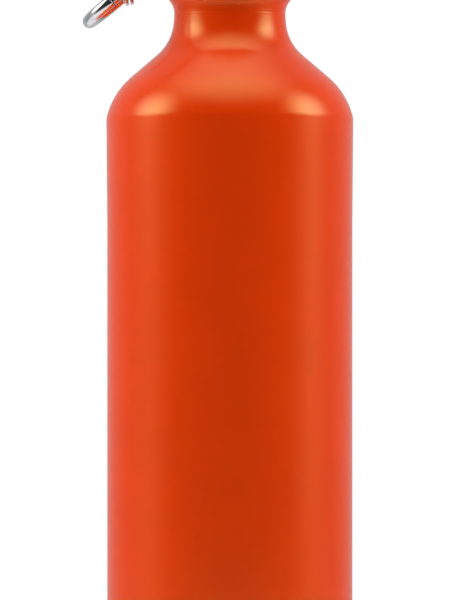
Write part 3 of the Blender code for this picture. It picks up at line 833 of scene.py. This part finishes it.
def build_ring():
    """Two turns of flat wire, with a smooth step from one turn to the other."""
    sizes, fineness = settings("carabiner"), settings("fineness")
    tilt = sizes.ring_tilt
    inner = (sizes.rod_radius + sizes.ring_slack + sizes.ring_pitch / 2 * math.sin(tilt)) / math.cos(tilt)
    radius = inner + sizes.ring_wire_radial / 2
    bm = bmesh.new()
    bmesh.ops.create_grid(bm, x_segments=1, y_segments=1, size=0.5)
    bmesh.ops.scale(bm, verts=bm.verts, vec=(sizes.ring_wire_radial, sizes.ring_wire_axial, 1))
    bmesh.ops.rotate(bm, verts=bm.verts, cent=(0, 0, 0), matrix=Matrix.Rotation(quarter, 3, "X"))
    soften(bm, bm.verts[:], sizes.ring_wire_round, segments=4, affect="VERTICES")
    shift(bm, (radius, 0, -sizes.ring_pitch / 2))
    bmesh.ops.delete(bm, geom=bm.faces[:], context="FACES_ONLY")
    sides = len(bm.edges)
    end = bm.edges[:]
    flat = math.tau - sizes.ring_step - sizes.ring_end_gap
    flat_turn = (flat, 0.0, fineness.wire)
    parts = fineness.wire_step
    risen = [(1 - math.cos(math.pi * part / parts)) / 2 for part in range(parts + 1)]
    step_over = [(sizes.ring_step / parts, (after - before) * sizes.ring_pitch, 1)
                 for before, after in zip(risen, risen[1:])]
    for turn, climb, steps in (flat_turn, *step_over, flat_turn):
        end = new_edges(spin(bm, end, (0, 0, 0), (0, 0, 1), turn, steps, climb / steps))
    bmesh.ops.holes_fill(bm, edges=bm.edges, sides=sides)
    face_outward(bm)
    ends_up = Matrix.Rotation(-(flat + sizes.ring_step / 2), 4, "Z")
    onto_rod = Matrix.Rotation(quarter + tilt, 4, "Y")
    down_the_rod = (ring_centre - carabiner_pivot).dot(along_rod)
    centre = Matrix.Translation((down_the_rod, rod_offset(), 0))
    bmesh.ops.transform(bm, matrix=centre @ onto_rod @ ends_up, verts=bm.verts)
    ring = make_object("ring", bm, finish(plated_steel))
    stand(ring, "ring", "spring_steel", "split_ring")


# Finishes. Patterns are in object coordinates, in metres.


class Nodes:
    """Adds nodes to one tree."""

    def __init__(self, tree):
        self.tree = tree

    def add(self, kind, sockets=None, **options):
        """A node with its options and its sockets set, each to a value or from another node's output."""
        made = self.tree.nodes.new("ShaderNode" + kind)
        for option, value in options.items():
            setattr(made, option, value)
        for name, value in (sockets or {}).items():
            if isinstance(value, bpy.types.NodeSocket):
                self.tree.links.new(value, made.inputs[name])
            else:
                made.inputs[name].default_value = value
        return made

    def sums(self, operation, first, second=0.0):
        return self.add("Math", {0: first, 1: second}, operation=operation).outputs[0]

    def spread(self, value, low, high, from_low=0.3, from_high=0.7, **options):
        """Turns from_low to from_high, which are a pattern's usual values, into low to high."""
        sockets = {"Value": value, "From Min": from_low, "From Max": from_high, "To Min": low, "To Max": high}
        return self.add("MapRange", sockets, **options).outputs["Result"]

    def fade(self, value, none, full):
        """0 where the value is none and 1 where it is full, with a soft start and end."""
        return self.spread(value, 0.0, 1.0, none, full, interpolation_type="SMOOTHSTEP")


class Finish(Nodes):
    """A material on a Principled shader with these values, which its patterns then vary."""

    def __init__(self, name, values):
        self.material = bpy.data.materials.new(name)
        self.material.use_nodes = True
        super().__init__(self.material.node_tree)
        self.shader = self.tree.nodes["Principled BSDF"]
        for socket, value in values.items():
            self.shader.inputs[socket].default_value = value
        self.place = self.add("TexCoord").outputs["Object"]

    def noise(self, size, detail, stretch=None):
        """A cloudy pattern whose lumps are about this size."""
        spot = self.place
        if stretch:
            spot = self.add("Mapping", {"Vector": spot, **stretch}).outputs["Vector"]
        sockets = {"Vector": spot, "Scale": 1 / size, "Detail": detail}
        return self.add("TexNoise", sockets).outputs["Fac"]

    def mottle(self, shade, pattern, dark, light):
        """Varies the colour between these shares of the shade."""
        darker, lighter = (
            (*(min(1, channel * part) for channel in shade), 1) for part in (dark, light))
        sockets = {"Factor": self.spread(pattern, 0, 1), 6: darker, 7: lighter}
        mixed = self.add("Mix", sockets, data_type="RGBA").outputs[2]
        self.tree.links.new(mixed, self.shader.inputs["Base Color"])

    def vary_gloss(self, pattern, smooth, rough):
        self.tree.links.new(self.spread(pattern, smooth, rough), self.shader.inputs["Roughness"])

    def patches(self, shade, size, dark, light, smooth, rough):
        """Varies the colour and the gloss together, in patches of about this size."""
        pattern = self.noise(size, detail=4)
        self.mottle(getattr(settings("finish"), shade), pattern, dark, light)
        self.vary_gloss(pattern, smooth, rough)

    def grain(self, size, detail, depth, stretch=None):
        """A fine texture of the surface."""
        return self.bumps(self.noise(size, detail, stretch), depth)

    def bumps(self, height, depth, under=None):
        """Raises the surface by this height pattern, on top of the normal under it."""
        sockets = {"Height": height, "Distance": depth, "Strength": 1.0}
        if under:
            sockets["Normal"] = under
        normal = self.add("Bump", sockets).outputs["Normal"]
        self.tree.links.new(normal, self.shader.inputs["Normal"])
        return normal


def finish(make):
    """The finish that this function makes, made at its first use and shared after it."""
    return bpy.data.materials.get(make.__name__) or make()


def powder_coat():
    """Satin powder coat: fine orange peel, slightly uneven colour and gloss, forming lines on the neck."""
    made = Finish(
        "powder_coat",
        {"IOR": 1.5, "Specular IOR Level": 0.62, "Specular Tint": (1.0, 1.0, 0.32, 1)})
    sizes = settings("finish")
    made.mottle(sizes.coat, made.noise(size=0.018, detail=3), dark=0.97, light=1.03)
    made.vary_gloss(made.noise(size=0.004, detail=3), smooth=0.17, rough=0.21)
    peel = made.grain(size=0.0009, detail=1, depth=0.0000012)
    height = made.add("SeparateXYZ", {"Vector": made.place}).outputs["Z"]
    middle = shell_high.z - sizes.lines_below_mouth
    away = made.sums("ABSOLUTE", made.sums("SUBTRACT", height, middle))
    window = made.spread(away, 1.0, 0.0, from_low=0.0, from_high=sizes.lines_reach)
    rings = made.sums("SINE", made.sums("MULTIPLY", height, math.tau / sizes.lines_spacing))
    made.bumps(made.sums("MULTIPLY", window, rings), depth=sizes.lines_depth, under=peel)
    return made.material


def inner_lacquer():
    """Gold-tinted food lacquer over the spun aluminium, with faint spinning marks."""
    made = Finish("inner_lacquer", {"Metallic": 0.75, "Coat Weight": 0.4, "Coat Roughness": 0.15})
    made.patches("lacquer", size=0.006, dark=0.88, light=1.08, smooth=0.28, rough=0.42)
    made.grain(size=0.0005, detail=2, depth=0.000012, stretch={"Scale": (0.02, 0.02, 1.0)})
    return made.material


def black_moulding():
    """Black polypropylene with the fine spark texture of its mould."""
    made = Finish("black_moulding", {"IOR": 1.49})
    made.patches("moulding", size=0.005, dark=0.8, light=1.3, smooth=0.42, rough=0.52)
    made.grain(size=0.00035, detail=3, depth=0.000018)
    return made.material


def pale_silicone():
    """Matt silicone with a soft bloom."""
    reach = (0.001, 0.001, 0.001)
    made = Finish("pale_silicone", {"IOR": 1.41, "Subsurface Weight": 0.1, "Subsurface Radius": reach})
    made.patches("silicone", size=0.003, dark=0.92, light=1.06, smooth=0.55, rough=0.68)
    made.grain(size=0.0004, detail=2, depth=0.000010)
    return made.material


def bright_metal():
    """Tumbled and polished aluminium, with fine lines along the rod and faint handling scuffs."""
    made = Finish("bright_metal", {"Metallic": 1.0})
    made.mottle(settings("finish").bright, made.noise(size=0.002, detail=4), dark=0.96, light=1.03)
    made.vary_gloss(made.noise(size=0.0007, detail=5), smooth=0.11, rough=0.20)
    lean = math.atan2(-along_rod.z, -along_rod.x)
    along = {"Rotation": (0, -lean, 0), "Scale": (0.04, 0.7, 1.0)}
    made.grain(size=0.0005, detail=1, depth=0.000001, stretch=along)
    return made.material


def plated_steel():
    """Nickel-plated spring steel."""
    made = Finish("plated_steel", {"Metallic": 1.0})
    made.patches("steel", size=0.0012, dark=0.92, light=1.05, smooth=0.16, rough=0.27)
    made.grain(size=0.0002, detail=2, depth=0.000002)
    return made.material


def finish_plain_solids():
    """The plunger and the spring stay as they are packed, in plated steel."""
    steel = finish(plated_steel)
    for name in ("gate_plunger", "gate_spring"):
        materials = frame["nodes"][name].data.materials
        materials.clear()
        materials.append(steel)


# The stage.


def build_floor():
    sizes = settings("stage")
    bm = bmesh.new()
    sides = settings("fineness").floor
    bmesh.ops.create_circle(bm, cap_ends=True, segments=sides, radius=sizes.floor_radius)
    shift(bm, (0, 0, -sizes.floor_drop))
    floor = make_object("floor", bm, finish(white_paper))


def white_paper():
    """Matt paper that takes the shadow near the flask and shows as plain white farther out."""
    made = Finish("white_paper", {"Roughness": 0.9, "Specular IOR Level": 0.1})
    sizes = settings("stage")
    grain = made.noise(size=0.0015, detail=4)
    made.mottle(sizes.paper, grain, dark=0.985, light=1.0)
    made.bumps(grain, depth=0.00002)
    distance = made.add("VectorMath", {0: made.place}, operation="LENGTH").outputs["Value"]
    farther = made.fade(distance, none=sizes.glow_from, full=sizes.glow_to)
    paths = made.add("LightPath").outputs
    mirrored = made.sums("MAXIMUM", paths["Is Glossy Ray"], paths["Is Transmission Ray"])
    seen = made.sums("MAXIMUM", paths["Is Camera Ray"], mirrored)
    outward = made.add("VectorMath", {0: made.place}, operation="NORMALIZE").outputs["Vector"]
    level = white_or_surround(made, outward)
    glow = made.add("Emission", {"Color": (1, 1, 1, 1), "Strength": level}).outputs["Emission"]
    shared = made.sums("MULTIPLY", farther, seen)
    mix = made.add("MixShader", {"Fac": shared, 1: made.shader.outputs["BSDF"], 2: glow})
    made.tree.links.new(mix.outputs["Shader"], made.tree.nodes["Material Output"].inputs["Surface"])
    return made.material


# Where the surround's levels stand, from 0 on the viewer's side to 1 at the back.
surround_places = (0.0, 0.2, 0.4, 0.65, 1.0)


def white_or_surround(nodes, direction):
    """Plain white to the camera, and the surround's level in this direction to all other rays."""
    heading = nodes.add("SeparateXYZ", {"Vector": direction}).outputs["Y"]
    backward = nodes.spread(heading, 0.0, 1.0, from_low=-1.0, from_high=1.0)
    ramp = nodes.add("ValToRGB", {"Fac": backward})
    stops = ramp.color_ramp.elements
    for position in surround_places[1:-1]:
        stops.new(position)
    for stop, level in zip(stops, settings("stage").surround):
        stop.color = (level, level, level, 1)
    seen = nodes.add("LightPath").outputs["Is Camera Ray"]
    return nodes.add("Mix", {0: seen, 2: ramp.outputs["Color"], 3: 1.0}, data_type="FLOAT").outputs[0]


def build_world():
    """A surround that is plain white to the camera, and dark on the viewer's side in reflections."""
    world = bpy.data.worlds.new("studio")
    world.use_nodes = True
    bpy.context.scene.world = world
    nodes = Nodes(world.node_tree)
    surface = nodes.tree.nodes["Background"]
    surface.inputs["Color"].default_value = (1, 1, 1, 1)
    direction = nodes.add("TexCoord").outputs["Generated"]
    nodes.tree.links.new(white_or_surround(nodes, direction), surface.inputs["Strength"])


def soft_box(name, spot, target, size, power):
    """A square soft box that faces its target and fades from its middle to its rim."""
    lamp = bpy.data.lights.new(name, "AREA")
    lamp.shape = "SQUARE"
    lamp.size = size
    lamp.energy = power
    lamp.use_nodes = True
    nodes = Nodes(lamp.node_tree)
    across = nodes.add("NewGeometry").outputs["Parametric"]
    middle, rim = (0.5, 0.5, 0), 0.5
    away = nodes.add("VectorMath", {0: across, 1: middle}, operation="DISTANCE").outputs["Value"]
    strength = nodes.tree.nodes["Emission"].inputs["Strength"]
    nodes.tree.links.new(nodes.fade(away, none=rim, full=0.0), strength)
    box = add_object(name, lamp)
    box.location = spot
    box.rotation_euler = (Vector(target) - Vector(spot)).to_track_quat("-Z", "Y").to_euler()
    box.visible_camera = False
    return box


def build_lights():
    """Big soft boxes, and two fills that light the flask without being mirrored in it."""
    sizes = settings("stage")
    shoulder = (0, 0, 0.17)
    soft_box("left_box", (-1.07, -0.16, 0.70), shoulder, 1.25, sizes.left_power)
    soft_box("right_box", (1.07, -0.12, 0.70), shoulder, 1.2, sizes.right_power)
    soft_box("top_box", (0.0, -0.3, 1.2), (0, -0.3, 0.2), 2.2, sizes.top_power)
    soft_box("side_strip", (1.2, -0.15, 0.12), shoulder, 0.9, sizes.strip_power)
    left_fill = soft_box("left_fill", (-1.1, -0.1, 0.55), shoulder, 1.2, sizes.left_fill)
    right_fill = soft_box("right_fill", (1.1, -0.1, 0.55), shoulder, 1.2, sizes.right_fill)
    for fill in (left_fill, right_fill):
        fill.visible_glossy = False


def build_camera():
    """The photograph's level view, framed on the flask's upper part."""
    sizes = settings("stage")
    camera = bpy.data.cameras.new("camera")
    camera.lens = camera.sensor_width * sizes.distance / sizes.frame_height
    holder = add_object("camera", camera)
    holder.location = (sizes.aim_side, -sizes.distance, sizes.aim_height)
    holder.rotation_euler = (quarter, 0, 0)
    bpy.context.scene.camera = holder
    bpy.context.scene.view_settings.view_transform = "Standard"


# Operators, panel and registration.


class FLASK_OT_bottle(Operator):
    """Builds the coated bottle and the thread in its neck"""
    bl_idname = "flask.bottle"
    bl_label = "Bottle"

    def execute(self, context):
        build_bottle()
        return {"FINISHED"}


class FLASK_OT_gasket(Operator):
    """Builds the gasket under the cap's flange"""
    bl_idname = "flask.gasket"
    bl_label = "Gasket"

    def execute(self, context):
        build_gasket()
        return {"FINISHED"}


class FLASK_OT_cap(Operator):
    """Builds the cap with its grip, loop and threaded plug"""
    bl_idname = "flask.cap"
    bl_label = "Cap"

    def execute(self, context):
        build_cap()
        return {"FINISHED"}


class FLASK_OT_carabiner(Operator):
    """Builds the bent rod with its hinge tongue, nose plate and rivet"""
    bl_idname = "flask.carabiner"
    bl_label = "Carabiner"

    def execute(self, context):
        build_carabiner()
        return {"FINISHED"}


class FLASK_OT_gate(Operator):
    """Builds the gate and its latch pin, and finishes the plunger and the spring inside it"""
    bl_idname = "flask.gate"
    bl_label = "Gate"

    def execute(self, context):
        build_gate()
        finish_plain_solids()
        return {"FINISHED"}


class FLASK_OT_ring(Operator):
    """Builds the split ring on the carabiner"""
    bl_idname = "flask.ring"
    bl_label = "Split ring"

    def execute(self, context):
        build_ring()
        return {"FINISHED"}


class FLASK_OT_stage(Operator):
    """Builds the floor, the surround, the lamps and the camera"""
    bl_idname = "flask.stage"
    bl_label = "Stage"

    def execute(self, context):
        build_floor()
        build_world()
        build_lights()
        build_camera()
        return {"FINISHED"}


operators = (
    FLASK_OT_bottle, FLASK_OT_gasket, FLASK_OT_cap, FLASK_OT_carabiner, FLASK_OT_gate, FLASK_OT_ring,
    FLASK_OT_stage,
)


class FLASK_PT_builder(Panel):
    """Lists the steps that build the flask, with the sizes and colours that they read"""
    bl_idname = "FLASK_PT_builder"
    bl_label = "Flask"
    bl_space_type = "VIEW_3D"
    bl_region_type = "UI"
    bl_category = "Flask"

    def draw(self, context):
        layout = self.layout
        steps = layout.column(align=True)
        for made in operators:
            steps.operator(made.bl_idname)
        for name, group in groups.items():
            box = layout.box()
            box.label(text=name.capitalize())
            for value in group.__annotations__:
                box.prop(settings(name), value)


def register():
    for group in groups.values():
        bpy.utils.register_class(group)
    for name, group in groups.items():
        setattr(bpy.types.Scene, "flask_" + name, PointerProperty(type=group))
    for made in (*operators, FLASK_PT_builder):
        bpy.utils.register_class(made)


def unregister():
    for made in (FLASK_PT_builder, *reversed(operators)):
        bpy.utils.unregister_class(made)
    for name, group in groups.items():
        delattr(bpy.types.Scene, "flask_" + name)
        bpy.utils.unregister_class(group)


def main():
    register()
    bpy.ops.flask.bottle()
    bpy.ops.flask.gasket()
    bpy.ops.flask.cap()
    bpy.ops.flask.carabiner()
    bpy.ops.flask.gate()
    bpy.ops.flask.ring()
    bpy.ops.flask.stage()


if __name__ == "__main__":
    main()
